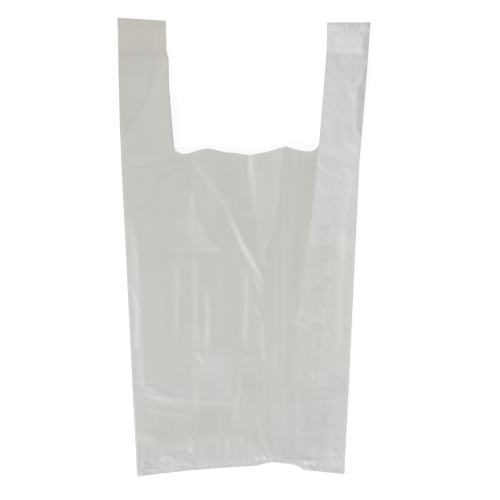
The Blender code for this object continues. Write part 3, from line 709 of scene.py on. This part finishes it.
class BagFilmSizes(bpy.types.PropertyGroup):
    thickness: length_prop("Film thickness", "Thickness of the film, as the solid part has it", 0.1 * MM)
    seal_depth: length_prop(
        "Seal depth", "Depth of the fused bands at the bottom and at the tops of the handles", 10 * MM
    )
    seal_step: length_prop(
        "Seal layer spacing", "Distance between the middles of two layers where they are fused", 0.12 * MM
    )
    crown: length_prop("Crown", "Height of the front film over the middle of the bag", BAG_DEPTH - 1.5 * MM)
    side_lift: length_prop("Side lift", "Height of the front film at the side creases of the body", 4.6 * MM)
    loop_lift: length_prop(
        "Loop lift", "Height of the front film at the side creases of the handles", 8.0 * MM
    )
    fold_gap: length_prop("Fold gap", "Spacing of two layers that are folded together", 0.8 * MM)
    fold_nose: length_prop("Fold nose", "Length of the rounded nose of a side crease", 0.4 * MM)
    pleat_level: factor_prop(
        "Pleat level", "Height of a pleat's inner crease, as a share of the height at the side", 0.45
    )
    handle_columns: count_prop("Handle columns", "Mesh columns across a handle's front film", 30, 10)
    middle_columns: count_prop(
        "Middle columns", "Mesh columns across the front film between the handles", 88, 12
    )
    body_rows: count_prop("Body rows", "Mesh rows from the bottom seal to the mouth", 156, 10)
    handle_rows: count_prop("Handle rows", "Mesh rows up a handle", 60, 4)


class BagCreaseSizes(bpy.types.PropertyGroup):
    hollow: number_prop(
        "Crease hollow", "How hollow the slopes beside a crest are: 1 is straight", 1.6, 1.0, 3.0
    )
    pucker_height: length_prop(
        "Pucker height", "Height of the gathers that lead out of the bottom seal", 0.5 * MM
    )
    crumple_height: length_prop("Crumple height", "How far the crumpled seals stand off the floor", 1.7 * MM)
    drape_height: length_prop("Drape height", "Height of the broad upright waves in the film", 0.4 * MM)
    crinkle_height: length_prop("Crinkle height", "Height of the small sharp crinkles in the film", 0.1 * MM)


class BagFilmFinish(bpy.types.PropertyGroup):
    film: colour_prop(
        "Film", "Milky film over the middle of the bag, two layers deep", (0.535, 0.541, 0.509)
    )
    right_pleat: colour_prop(
        "Right pleat", "Film over the right pleat and in the right handle, four layers deep",
        (0.600, 0.600, 0.585)
    )
    left_pleat: colour_prop(
        "Left pleat", "Film over the upper part of the left pleat", (0.532, 0.527, 0.496)
    )
    # Warmer film, and darker as painted shade on the handle's upper end.
    left_handle: colour_prop(
        "Left handle", "Upper part of the left handle, where the film is warmer", (0.509, 0.491, 0.455)
    )
    greyed: colour_prop(
        "Greyed film", "Film beside the side creases and low down, as milky as the rest but greyer",
        (0.541, 0.541, 0.530)
    )
    # Paler gathered film over the foot, and a painted sheen on a patch at the top of the right handle.
    gathered_and_sheen: colour_prop(
        "Gathered film", "Fused and gathered film beside the bottom seal", (0.588, 0.594, 0.588)
    )
    # Whitened film, which is also the painted highlight along the creases, on the facets and beside the side
    # folds.
    whitened_and_highlit: colour_prop(
        "Whitened film", "Film that has whitened along a sharp crease", (0.660, 0.663, 0.647)
    )
    roughness: factor_prop("Roughness", "Roughness of the film", 0.42)


class BagStageLook(bpy.types.PropertyGroup):
    floor_size: length_prop("Floor size", "Width of the pale floor", 8.0)
    floor_colour: colour_prop(
        "Floor colour", "Colour that the floor throws back at the bag", (0.8, 0.8, 0.8)
    )
    room_strength: number_prop("Room light", "Strength of the even light of the room", 0.76, 0.0, 2.0)
    key_power: number_prop(
        "Key light", "Power of the soft light at the lower left, in watts", 72.0, 0.0, 500.0
    )
    key_width: length_prop("Key light width", "Width of the soft light at the lower left", 1.0)
    camera_height: length_prop("Camera height", "Height of the camera over the floor", 2.4)


class Film:
    """Where the folded film lies. Places across and up the bag are arrays of one shape."""

    def __init__(self, sizes, creases):
        self.sizes = sizes
        self.creases = creases

    def off_seals(self, side, x, y, foot_ramp, head_ramp):
        """0 in the bottom seal and in a handle's top seal, and 1 from the ramps on away from them."""
        from_foot = y - bottom_y(x) - self.sizes.seal_depth
        from_head = top_y(side, x) - self.sizes.seal_depth - y
        return ease(from_foot / foot_ramp) * ease(from_head / head_ramp)

    def fullness(self, side, x, y):
        """0 at a seal, 1 well away from every seal."""
        return self.off_seals(side, x, y, BOTTOM_RAMP, TOP_RAMP)

    def free_share(self, side, x, y):
        """0 in a seal, where all layers move as one, and 1 a little way off it."""
        return self.off_seals(side, x, y, FREE_RAMP, FREE_RAMP)

    def handle_share(self, side, y):
        """0 in the body, 1 well up a handle."""
        return ease((y - corner(side)[2]) / LOOP_RAMP)

    def back_z(self, side, x, y):
        """Back film: flat on the floor, and a little off it inside the seals."""
        free = self.off_seals(side, x, y, BACK_RAMP, BACK_RAMP)
        return mix(self.sizes.seal_step, self.sizes.thickness / 2, free)

    def front_z(self, side, x, y):
        """Front film without its creases: domed by the air inside, pinched at the seals."""
        left, right = side_x(LEFT, y), side_x(RIGHT, y)
        across = np.abs(2 * x - left - right) / (right - left)
        dome = np.clip(1 - across**DOME_POWER, 0, None)
        level = mix(self.sizes.side_lift, self.sizes.loop_lift, self.handle_share(side, y))
        sealed = self.sizes.seal_step * 4
        return sealed + self.fullness(side, x, y) * (mix(level, self.sizes.crown, dome) - sealed)

    def step_at(self, side, x, y):
        """Spacing of two neighbouring layers where they are folded together."""
        return np.minimum(self.sizes.fold_gap, (self.front_z(side, x, y) - self.back_z(side, x, y)) / 3)

    def lines(self, x, y):
        """How far the creases and the broad facets lift the film."""
        return crease_marks(self.creases.hollow, x, y)[0] + panel_marks(x, y)[0]

    def relief(self, x, y):
        """How far the creases, puckers, waves, crinkles, ripples and dents move the front film."""
        crinkle = self.creases.crinkle_height
        pale = passed(x, line_x(PALE_BORDER, y), 2)
        puckers = self.creases.pucker_height * field(x, y, PUCKERS) * fall(y - bottom_y(x), 52, 34)
        waves = self.creases.drape_height * field(x, y, WAVES)
        small = crinkle * crests(x, y, CRINKLES)
        fine = crinkle * crests(x, y, FINE_CRINKLES) * mix(*FINE_HEIGHTS, pale)
        rippled = rise(x, 76, 8) * fall(x, 112, 6) * fall(y, 36, 12)
        ripples = RIPPLE_HEIGHT * crinkle * rippled * crests(x, y, RIPPLES)
        dented = rise(y, 112, 16) * (x > 0) + LEFT_DENTS * rise(y, 232, 10) * (x < 0)
        dents = DENT_HEIGHT * crinkle * dented * field(x, y, DENTS)
        return self.lines(x, y) + puckers + waves + small + fine + ripples + dents

    def sealed_lift(self, side, x, y):
        """How far every layer stands off the floor where a seal has crumpled."""
        foot = fall(y - bottom_y(x), 17, 14) * reading(FOOT_CRUMPLE, x)
        foot = foot * np.clip(mix(0.4, 1.0, crests(x, y, FOOT_CRUMPLES)), 0, 1)
        head = HEAD_CRUMPLE * fall(top_y(side, x) - y, 12, 9) * np.clip(crests(x, y, HEAD_CRUMPLES), 0, 1)
        lines = np.maximum(self.lines(x, y), 0) * (1 - self.free_share(side, x, y))
        return self.creases.crumple_height * (foot + head) + lines

    def pleat_z(self, side, upper, x, y):
        """Height of the upper or lower layer of a side pleat."""
        outer_x = side_x(side, y) - side * self.sizes.fold_nose
        inner_x = pleat_x(side, y)
        share = np.clip((outer_x - x) / (outer_x - inner_x), 0, 1)
        outer_front = self.front_z(side, outer_x, y)
        outer_back = self.back_z(side, outer_x, y)
        middle = mix(outer_back, outer_front, self.sizes.pleat_level)
        step = self.step_at(side, outer_x, y)
        loop = self.handle_share(side, y)
        if upper:
            level = mix(outer_front - step, middle + step / 2, share)
            room = LOOP_ROOM * loop * self.fullness(side, x, y)
            beside = self.front_z(side, x, y) - self.step_at(side, x, y) - room
            return np.minimum(mix(level, beside, loop), beside)
        level = mix(outer_back + step, middle - step / 2, share)
        return mix(level, self.back_z(side, x, y) + self.step_at(side, x, y), loop)

    def creased_z(self, side, x, y):
        """Front film with its creases, which stays clear of the layer under it."""
        level = self.front_z(side, x, y) + self.relief(x, y) * self.free_share(side, x, y)
        return np.maximum(level, self.pleat_z(side, True, x, y) + self.sizes.seal_step)

    def height(self, layer, side, x, y):
        lift = self.sealed_lift(side, x, y)
        if layer == "front":
            return lift + self.creased_z(side, x, y)
        if layer == "back":
            return lift + self.back_z(side, x, y)
        upper, lower = self.pleat_z(side, True, x, y), self.pleat_z(side, False, x, y)
        if layer == "front nose":
            return lift + (self.creased_z(side, x, y) + upper) / 2
        if layer == "back nose":
            return lift + (self.back_z(side, x, y) + lower) / 2
        if layer == "inner nose":
            return lift + (upper + lower) / 2
        return lift + (upper if layer == "upper pleat" else lower)


def spread(start, count):
    """Evenly spaced shares that lead from start to start + 1, without the start."""
    return [start + (i + 1) / count for i in range(count)]


def layer_columns(sizes):
    """(layer, side, share) of each mesh column once round the tube, from the left side of the front."""
    handle, middle = sizes.handle_columns, sizes.middle_columns
    front = [0.0] + spread(0, handle) + spread(1, middle) + spread(2, handle)
    back_handle, back_middle = handle // BACK_COARSER, middle // BACK_COARSER
    back = [0.0] + spread(0, back_handle) + spread(1, back_middle) + spread(2, back_handle)
    outside, inside = (handle // coarser for coarser in PLEAT_COARSER)
    depth = [0.0] + spread(0, outside) + spread(1, inside)
    columns = []
    for layer, side, shares in (
        ("front", None, front),
        ("front nose", RIGHT, [0.0]),
        ("upper pleat", RIGHT, depth),
        ("inner nose", RIGHT, [0.0]),
        ("lower pleat", RIGHT, depth[::-1]),
        ("back nose", RIGHT, [0.0]),
        ("back", None, back[::-1]),
        ("back nose", LEFT, [0.0]),
        ("lower pleat", LEFT, depth),
        ("inner nose", LEFT, [0.0]),
        ("upper pleat", LEFT, depth[::-1]),
        ("front nose", LEFT, [0.0]),
    ):
        columns += [(layer, side or (LEFT if share < 1.5 else RIGHT), share) for share in shares]
    return columns + columns[:1]


def column_x(sizes, column, y):
    """Distance across the bag of a column at the heights y."""
    layer, side, share = column
    nose = sizes.fold_nose
    if layer in ("front", "back"):
        if share <= 1:
            return mix(side_x(LEFT, y) + nose, cut_x(LEFT, y), share)
        if share <= 2:
            return mix(cut_x(LEFT, y), cut_x(RIGHT, y), share - 1)
        return mix(cut_x(RIGHT, y), side_x(RIGHT, y) - nose, share - 2)
    if layer == "inner nose":
        return pleat_x(side, y)
    if layer in ("front nose", "back nose"):
        return side_x(side, y)
    if share <= 1:
        return mix(side_x(side, y) - side * nose, cut_x(side, y), share)
    return mix(cut_x(side, y), pleat_x(side, y) + side * nose, share - 1)


def row_shares(sizes):
    """Shares of each stretch of rows: bottom seal, body, handle and top seal."""
    body = np.arange(sizes.body_rows) / sizes.body_rows
    handle = np.arange(sizes.handle_rows) / sizes.handle_rows
    return np.arange(FOOT_ROWS) / FOOT_ROWS, body, handle, np.arange(HEAD_ROWS + 1) / HEAD_ROWS


def row_heights(sizes, side, x):
    """Heights of all mesh rows, from the bottom edge to the handle's top, at the distances x."""
    base, mouth, top = bottom_y(x), mouth_y(x), top_y(side, x)
    levels = [base, base + sizes.seal_depth, mouth, top - sizes.seal_depth, top]
    heights, first = [], 0
    for low, high, shares in zip(levels, levels[1:], row_shares(sizes)):
        rows = slice(first, first + len(shares))
        heights.append(mix(low[rows], high[rows], shares))
        first = rows.stop
    return np.concatenate(heights)


def onto_crests(x, y, free):
    """Moves the free points of a mesh that lie next to a crest onto it, so that the crest stays sharp."""
    wide, tall = np.abs(np.gradient(x, axis=1)), np.abs(np.gradient(y, axis=0))
    for line, *_ in CREASES:
        away, share, off_x, off_y = line_reading(line, x, y)
        distance = np.maximum(np.abs(away), TINY)
        reach = SNAP_REACH * np.maximum(wide * np.abs(off_x), tall * np.abs(off_y)) / distance
        moved = free & (distance < reach) & (share > 0) & (share < 1)
        x, y = np.where(moved, x - off_x, x), np.where(moved, y - off_y, y)
        free = free & ~moved
    return x, y


def film_places(film, columns):
    """Arrays of x, y and z over every row and column of the folded tube."""
    sizes = film.sizes
    rows = sum(len(shares) for shares in row_shares(sizes))
    across = np.empty((rows, len(columns)))
    up = np.empty_like(across)
    for place, column in enumerate(columns):
        x = column_x(sizes, column, np.zeros(rows))
        # The heights depend on the place across and the other way round, so they are worked out twice.
        for _ in range(2):
            y = row_heights(sizes, column[1], x)
            x = column_x(sizes, column, y)
        across[:, place], up[:, place] = x, y
    front = [place for place, column in enumerate(columns[:-1]) if column[0] == "front"]
    seal, body, _, top = (len(shares) for shares in row_shares(sizes))
    free = np.ones((rows, len(front)), bool)
    free[[0, seal, seal + body, rows - top, rows - 1]] = False
    free[:, [columns[place][2] in (0, 1, 2, 3) for place in front]] = False
    across[:, front], up[:, front] = onto_crests(across[:, front], up[:, front], free)
    height = np.empty_like(across)
    for group in sorted({column[:2] for column in columns}):
        chosen = [place for place, column in enumerate(columns) if column[:2] == group]
        height[:, chosen] = film.height(*group, across[:, chosen], up[:, chosen])
    return across, up, height


def cut_away(column, following):
    """True between two columns that the die removes above the mouth."""
    kept = []
    for layer, _, share in (column, following):
        if layer in ("front", "back"):
            kept.append(share < 1 or share > 2)
        elif layer in ("upper pleat", "lower pleat"):
            kept.append(share < 1)
        else:
            kept.append(layer != "inner nose")
    return not any(kept)


def tone_masks(x, y):
    """Where the film is pale over the right pleat, save on the strip that has rolled over, whose plain
    colour is painted shade; dull beside it and on the left; and warm on the left handle, painted darker
    there as shade.
    """
    right = passed(x, line_x(PALE_BORDER, y), 2)
    flat = 1 - passed(x, line_x(ROLLED_EDGE, y), 1.5) * rise(y, 122, 5) * fall(y, 264, 8)
    band = rise(x - line_x(BAND_EDGE, y), 0, 2) * (1 - right) * rise(y, -90, 70)
    left = fall(x, -60, 5) * rise(x - line_x(LEFT_DULL_EDGE, y), 0, 5) * rise(y, -40, 30)
    upper = mix(UPPER_WARMTH, 1.0, rise(y, 226, 6)) * rise(y, 200, 16)
    aslant = SLANT_WARMTH * rise(line_x(WARM_SLANT, y) - x, 0, 6) * rise(y, 126, 8)
    return {"pale": right * reading(PALE_SHARE, y) * flat, "dull": np.maximum(band, left) * flat,
            "warm": np.maximum(upper, aslant) * (x < 0)}


def whitening_and_painted_light(hollow, crumpled, off_edge, x, y):
    """How far the film is whitened and painted with highlights by its creases, facets, seals and edges, and
    how far painted shade darkens it.
    """
    _, white, painted_crease_shade = crease_marks(hollow, x, y)
    under = mouth_y(x) - y
    lip = LIP_WHITE * fall(under, 5, 3) * np.clip(crests(x, y, LIP_WRINKLES), 0, 1)
    foot = FOOT_WHITE * crumpled * (y < 0) * off_edge * ease(crests(x, y, FOOT_WRINKLES))
    marks = [white, panel_marks(x, y)[1], lip * (under > -MM) * (np.abs(x) < LIP_END), foot]
    for side, (strength, width, top) in FOLD_WHITE.items():
        marks.append(strength * fall(side * (side_x(side, y) - x), width, width) * fall(y, top, 60))
    return np.max(marks, axis=0) * (1 - painted_crease_shade), painted_crease_shade


def zone_masks(hollow, x, y):
    """Every way in which the film's look changes over the bag, by the name of its mask."""
    # A painted sheen on the patch at the top of the right handle, in the same mask as the gathered foot.
    patch = rise(y, 231, 2) * rise(x, 100, 3) * fall(x, 145, 4) * fall(y, 264, 6)
    gathered_and_sheen = np.maximum(FOOT_GATHERED * rise(along(GATHER_EDGE, x) - y, 0, 16), patch)
    above = y - bottom_y(x)
    crumpled = np.maximum(fall(above, 18, 12) * reading(FOOT_CRUMPLE, x), TOP_CRUMPLE * rise(y, 250, 12))
    off_edge = rise(above, 1.5, 2.5)
    white, painted_crease_shade = whitening_and_painted_light(hollow, crumpled, off_edge, x, y)
    milk_and_light, grey = stretch_marks(x, y)
    milk_and_light = milk_and_light * reading(MILK_AND_SHADE_BY_HEIGHT, y) * mix(1, CRUMPLED_MILK, crumpled * (y < 0))
    milk_and_light = milk_and_light * mix(EDGE_MILK, 1.0, off_edge) * mix(1.0, CREASE_SHADE_FACTOR, painted_crease_shade)
    return tone_masks(x, y) | {"greyed": grey, "gathered_and_sheen": gathered_and_sheen, "whitened_and_highlit": white,
                               "crumpled": crumpled, "milk_and_painted_light": milk_and_light}


def deselect_all():
    for obj in bpy.context.selected_objects:
        obj.select_set(False)


def folded_tube(name, film):
    """A grid cut by the die, then rolled into the pleated tube."""
    columns = layer_columns(film.sizes)
    across, up, height = film_places(film, columns)
    wide, tall = across.shape[1] - 1, across.shape[0] - 1
    deselect_all()
    bpy.ops.mesh.primitive_grid_add(x_subdivisions=wide, y_subdivisions=tall, size=1)
    tube = bpy.context.active_object
    tube.name = tube.data.name = name
    mesh = tube.data
    mouth_row = len(row_shares(film.sizes)[0]) + film.sizes.body_rows
    removed = [cut_away(*pair) for pair in zip(columns, columns[1:])]
    for face in mesh.polygons:
        column = round((face.center.x + 0.5) * wide - 0.5)
        row = round((face.center.y + 0.5) * tall - 0.5)
        face.select = row >= mouth_row and removed[column]
    places = np.stack([across, up, height], axis=-1).astype(np.float32)
    mesh.vertices.foreach_set("co", places.ravel())
    for mask, values in zone_masks(film.creases.hollow, across, up).items():
        painted = mesh.attributes.new(mask, "FLOAT", "POINT")
        painted.data.foreach_set("value", values.astype(np.float32).ravel())
    for part in (mesh.vertices, mesh.edges):
        part.foreach_set("select", [False] * len(part))
    bpy.context.tool_settings.mesh_select_mode = (False, False, True)
    bpy.ops.object.mode_set(mode="EDIT")
    bpy.ops.mesh.delete(type="FACE")
    bpy.ops.mesh.select_all(action="SELECT")
    bpy.ops.mesh.remove_doubles(threshold=JOIN_DISTANCE)
    bpy.ops.mesh.quads_convert_to_tris()
    bpy.ops.object.mode_set(mode="OBJECT")
    return tube


def give_thickness(tube, thickness):
    wall = tube.modifiers.new("film thickness", "SOLIDIFY")
    wall.thickness = thickness
    wall.offset = 0
    bpy.ops.object.modifier_apply(modifier=wall.name)
    bpy.ops.object.shade_smooth_by_angle(angle=SMOOTH_ANGLE)


def node(tree, kind, **settings):
    """Adds a shader node, with its settings, and with values for the inputs named in set."""
    made = tree.nodes.new(kind)
    values = settings.pop("set", {})
    for key, value in settings.items():
        setattr(made, key, value)
    for key, value in values.items():
        made.inputs[key].default_value = value
    return made


def feed(tree, place, value):
    """Links an output to an input, or gives the input a plain value."""
    if isinstance(value, bpy.types.NodeSocket):
        tree.links.new(value, place)
    else:
        place.default_value = value


def blended(tree, below, above, share):
    """Output of a colour mix: below, and above it by the share that a socket gives."""
    mixer = node(tree, "ShaderNodeMix", data_type="RGBA")
    tree.links.new(share, mixer.inputs["Factor"])
    for name, colour in (("A", below), ("B", above)):
        place = next(s for s in mixer.inputs if s.name == name and s.type == "RGBA")
        feed(tree, place, colour if isinstance(colour, bpy.types.NodeSocket) else (*colour, 1.0))
    return next(s for s in mixer.outputs if s.type == "RGBA")


def texture(tree, wide, tall, detail):
    """Noise of a length across the bag and along it, in millimetres."""
    place = node(tree, "ShaderNodeTexCoord")
    scale = (1 / (wide * MM), 1 / (tall * MM), 1 / (wide * MM))
    mapping = node(tree, "ShaderNodeMapping", set={"Scale": scale})
    pattern = node(tree, "ShaderNodeTexNoise", set={"Scale": 1.0, "Detail": detail})
    tree.links.new(place.outputs["Object"], mapping.inputs["Vector"])
    tree.links.new(mapping.outputs["Vector"], pattern.inputs["Vector"])
    return pattern.outputs["Fac"]


def arithmetic(tree, operation, *values):
    """Output of a sum or the like over two or more values, each an output or a plain number."""
    total, *others = values
    for value in others:
        made = node(tree, "ShaderNodeMath", operation=operation)
        feed(tree, made.inputs[0], total)
        feed(tree, made.inputs[1], value)
        total = made.outputs["Value"]
    return total


def ranged(tree, value, low, high):
    """Reads a 0 to 1 value as low to high."""
    made = node(tree, "ShaderNodeMapRange", set={"To Min": low, "To Max": high})
    tree.links.new(value, made.inputs["Value"])
    return made.outputs["Result"]


def new_material(name):
    """A new material, with its node tree and its shader."""
    material = bpy.data.materials.new(name)
    material.use_nodes = True
    return material, material.node_tree, material.node_tree.nodes["Principled BSDF"]


def painted(tree, mask):
    """What a mask of the film's mesh says."""
    return node(tree, "ShaderNodeAttribute", attribute_name=mask).outputs["Fac"]


def film_material(finish):
    """Milky film: its colours laid over one another by their masks, painted highlights, sheen and shade
    among them, mottled, streaked and crinkled.
    """
    material, tree, shader = new_material("milky_film")
    colour = finish.film
    for mask, above in (
        ("greyed", finish.greyed),
        ("dull", finish.left_pleat),
        ("pale", finish.right_pleat),
        ("warm", finish.left_handle),
        ("gathered_and_sheen", finish.gathered_and_sheen),
        ("whitened_and_highlit", finish.whitened_and_highlit),
    ):
        colour = blended(tree, colour, above, painted(tree, mask))
    mottle = texture(tree, *MOTTLE)
    streaks = texture(tree, *STREAKS)
    tint = arithmetic(tree, "ADD", ranged(tree, mottle, *MOTTLE_TINT), ranged(tree, streaks, *STREAK_TINT))
    tint = arithmetic(tree, "MULTIPLY", tint, painted(tree, "milk_and_painted_light"))
    toned = node(tree, "ShaderNodeVectorMath", operation="SCALE")
    tree.links.new(colour, toned.inputs[0])
    tree.links.new(tint, toned.inputs["Scale"])
    tree.links.new(toned.outputs[0], shader.inputs["Base Color"])
    varied = ranged(tree, mottle, finish.roughness + GLOSS_SPREAD, finish.roughness - GLOSS_SPREAD)
    glossier = ranged(tree, painted(tree, "gathered_and_sheen"), 0.0, -GLOSS_SPREAD)
    tree.links.new(arithmetic(tree, "ADD", varied, glossier), shader.inputs["Roughness"])
    lines = arithmetic(tree, "MULTIPLY", streaks, STREAK_HEIGHT)
    crumples = texture(tree, *CRUMPLE_GRAIN)
    crumples = arithmetic(tree, "MULTIPLY", crumples, painted(tree, "crumpled"), CRUMPLE_HEIGHT)
    bump = node(tree, "ShaderNodeBump", set={"Strength": BUMP_STRENGTH, "Distance": BUMP_HEIGHT})
    tree.links.new(arithmetic(tree, "ADD", lines, texture(tree, *GRAIN), crumples), bump.inputs["Height"])
    tree.links.new(bump.outputs["Normal"], shader.inputs["Normal"])
    return material


def floor_material(look):
    """Pale floor that the camera, and what mirrors or passes the view, sees as white with a soft shadow."""
    material, tree, shader = new_material("studio_floor")
    shader.inputs["Roughness"].default_value = 0.9
    rays = node(tree, "ShaderNodeLightPath").outputs
    seen = [rays[kind] for kind in ("Is Camera Ray", "Is Glossy Ray", "Is Transmission Ray")]
    seen = arithmetic(tree, "MAXIMUM", *seen)
    tree.links.new(blended(tree, look.floor_colour, FLOOR_SHADE, seen), shader.inputs["Base Color"])
    shader.inputs["Emission Color"].default_value = WHITE
    tree.links.new(arithmetic(tree, "MULTIPLY", seen, FLOOR_GLOW), shader.inputs["Emission Strength"])
    return material


def soft_light(name, place, power, width):
    """Adds a square soft light at a place, turned to the middle of the bag."""
    deselect_all()
    turn = Vector(place).to_track_quat("Z", "Y").to_euler()
    bpy.ops.object.light_add(type="AREA", location=place, rotation=turn)
    light = bpy.context.active_object
    light.name = light.data.name = name
    light.data.energy = power
    light.data.size = width


class BAG_OT_film(bpy.types.Operator):
    """Model the bag's film: one pleated, sealed and die-cut tube, with every crease in it"""

    bl_idname = "bag.film"
    bl_label = "Model the Film"

    def execute(self, context):
        scene = context.scene
        film = Film(scene.bag_film_sizes, scene.bag_crease_sizes)
        bag = folded_tube("film_bag", film)
        bag.data.materials.append(film_material(scene.bag_film_finish))
        give_thickness(bag, film.sizes.thickness)
        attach(bag, BODY)
        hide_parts(NODE)
        return {"FINISHED"}


class BAG_OT_stage(bpy.types.Operator):
    """Set up the pale floor, the soft light, the even light of the room and the camera over the bag"""

    bl_idname = "bag.stage"
    bl_label = "Set Up the Studio"

    def execute(self, context):
        scene = context.scene
        look = scene.bag_stage_look
        deselect_all()
        bpy.ops.mesh.primitive_plane_add(size=look.floor_size, location=(0, 0, FLOOR_LEVEL))
        floor = context.active_object
        floor.name = "studio_floor"
        floor.data.materials.append(floor_material(look))
        soft_light("key_light", KEY_PLACE, look.key_power, look.key_width)
        world = bpy.data.worlds.new("studio_room")
        scene.world = world
        world.use_nodes = True
        room = world.node_tree
        background = room.nodes["Background"]
        background.inputs["Color"].default_value = WHITE
        seen = node(room, "ShaderNodeLightPath").outputs["Is Camera Ray"]
        room.links.new(ranged(room, seen, look.room_strength, 1.0), background.inputs["Strength"])
        lens_data = bpy.data.cameras.new("studio_camera")
        camera = bpy.data.objects.new("studio_camera", lens_data)
        scene.collection.objects.link(camera)
        camera.location = (*VIEW_CENTRE, look.camera_height)
        lens_data.lens = lens_data.sensor_width * (look.camera_height - VIEW_HEIGHT) / VIEW_WIDTH
        scene.camera = camera
        scene.view_settings.view_transform = "Standard"
        return {"FINISHED"}


class BAG_PT_panel(bpy.types.Panel):
    bl_label = "Tie-Handle Bin Bag"
    bl_idname = "BAG_PT_panel"
    bl_space_type = "VIEW_3D"
    bl_region_type = "UI"
    bl_category = "Bin Bag"

    def draw(self, context):
        scene = context.scene
        for heading, group, operator in (
            ("Film", scene.bag_film_sizes, BAG_OT_film),
            ("Creases", scene.bag_crease_sizes, None),
            ("Finish", scene.bag_film_finish, None),
            ("Studio", scene.bag_stage_look, BAG_OT_stage),
        ):
            box = self.layout.box()
            box.label(text=heading)
            for name in group.__annotations__:
                box.prop(group, name)
            if operator:
                box.operator(operator.bl_idname)


GROUPS = {
    "bag_film_sizes": BagFilmSizes,
    "bag_crease_sizes": BagCreaseSizes,
    "bag_film_finish": BagFilmFinish,
    "bag_stage_look": BagStageLook,
}
CLASSES = (*GROUPS.values(), BAG_OT_film, BAG_OT_stage, BAG_PT_panel)


def register():
    for made in CLASSES:
        bpy.utils.register_class(made)
    for name, group in GROUPS.items():
        setattr(bpy.types.Scene, name, PointerProperty(type=group))


def unregister():
    for name in GROUPS:
        delattr(bpy.types.Scene, name)
    for made in reversed(CLASSES):
        bpy.utils.unregister_class(made)


def main():
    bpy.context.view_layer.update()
    register()
    bpy.ops.bag.film()
    bpy.ops.bag.stage()


if __name__ == "__main__":
    main()
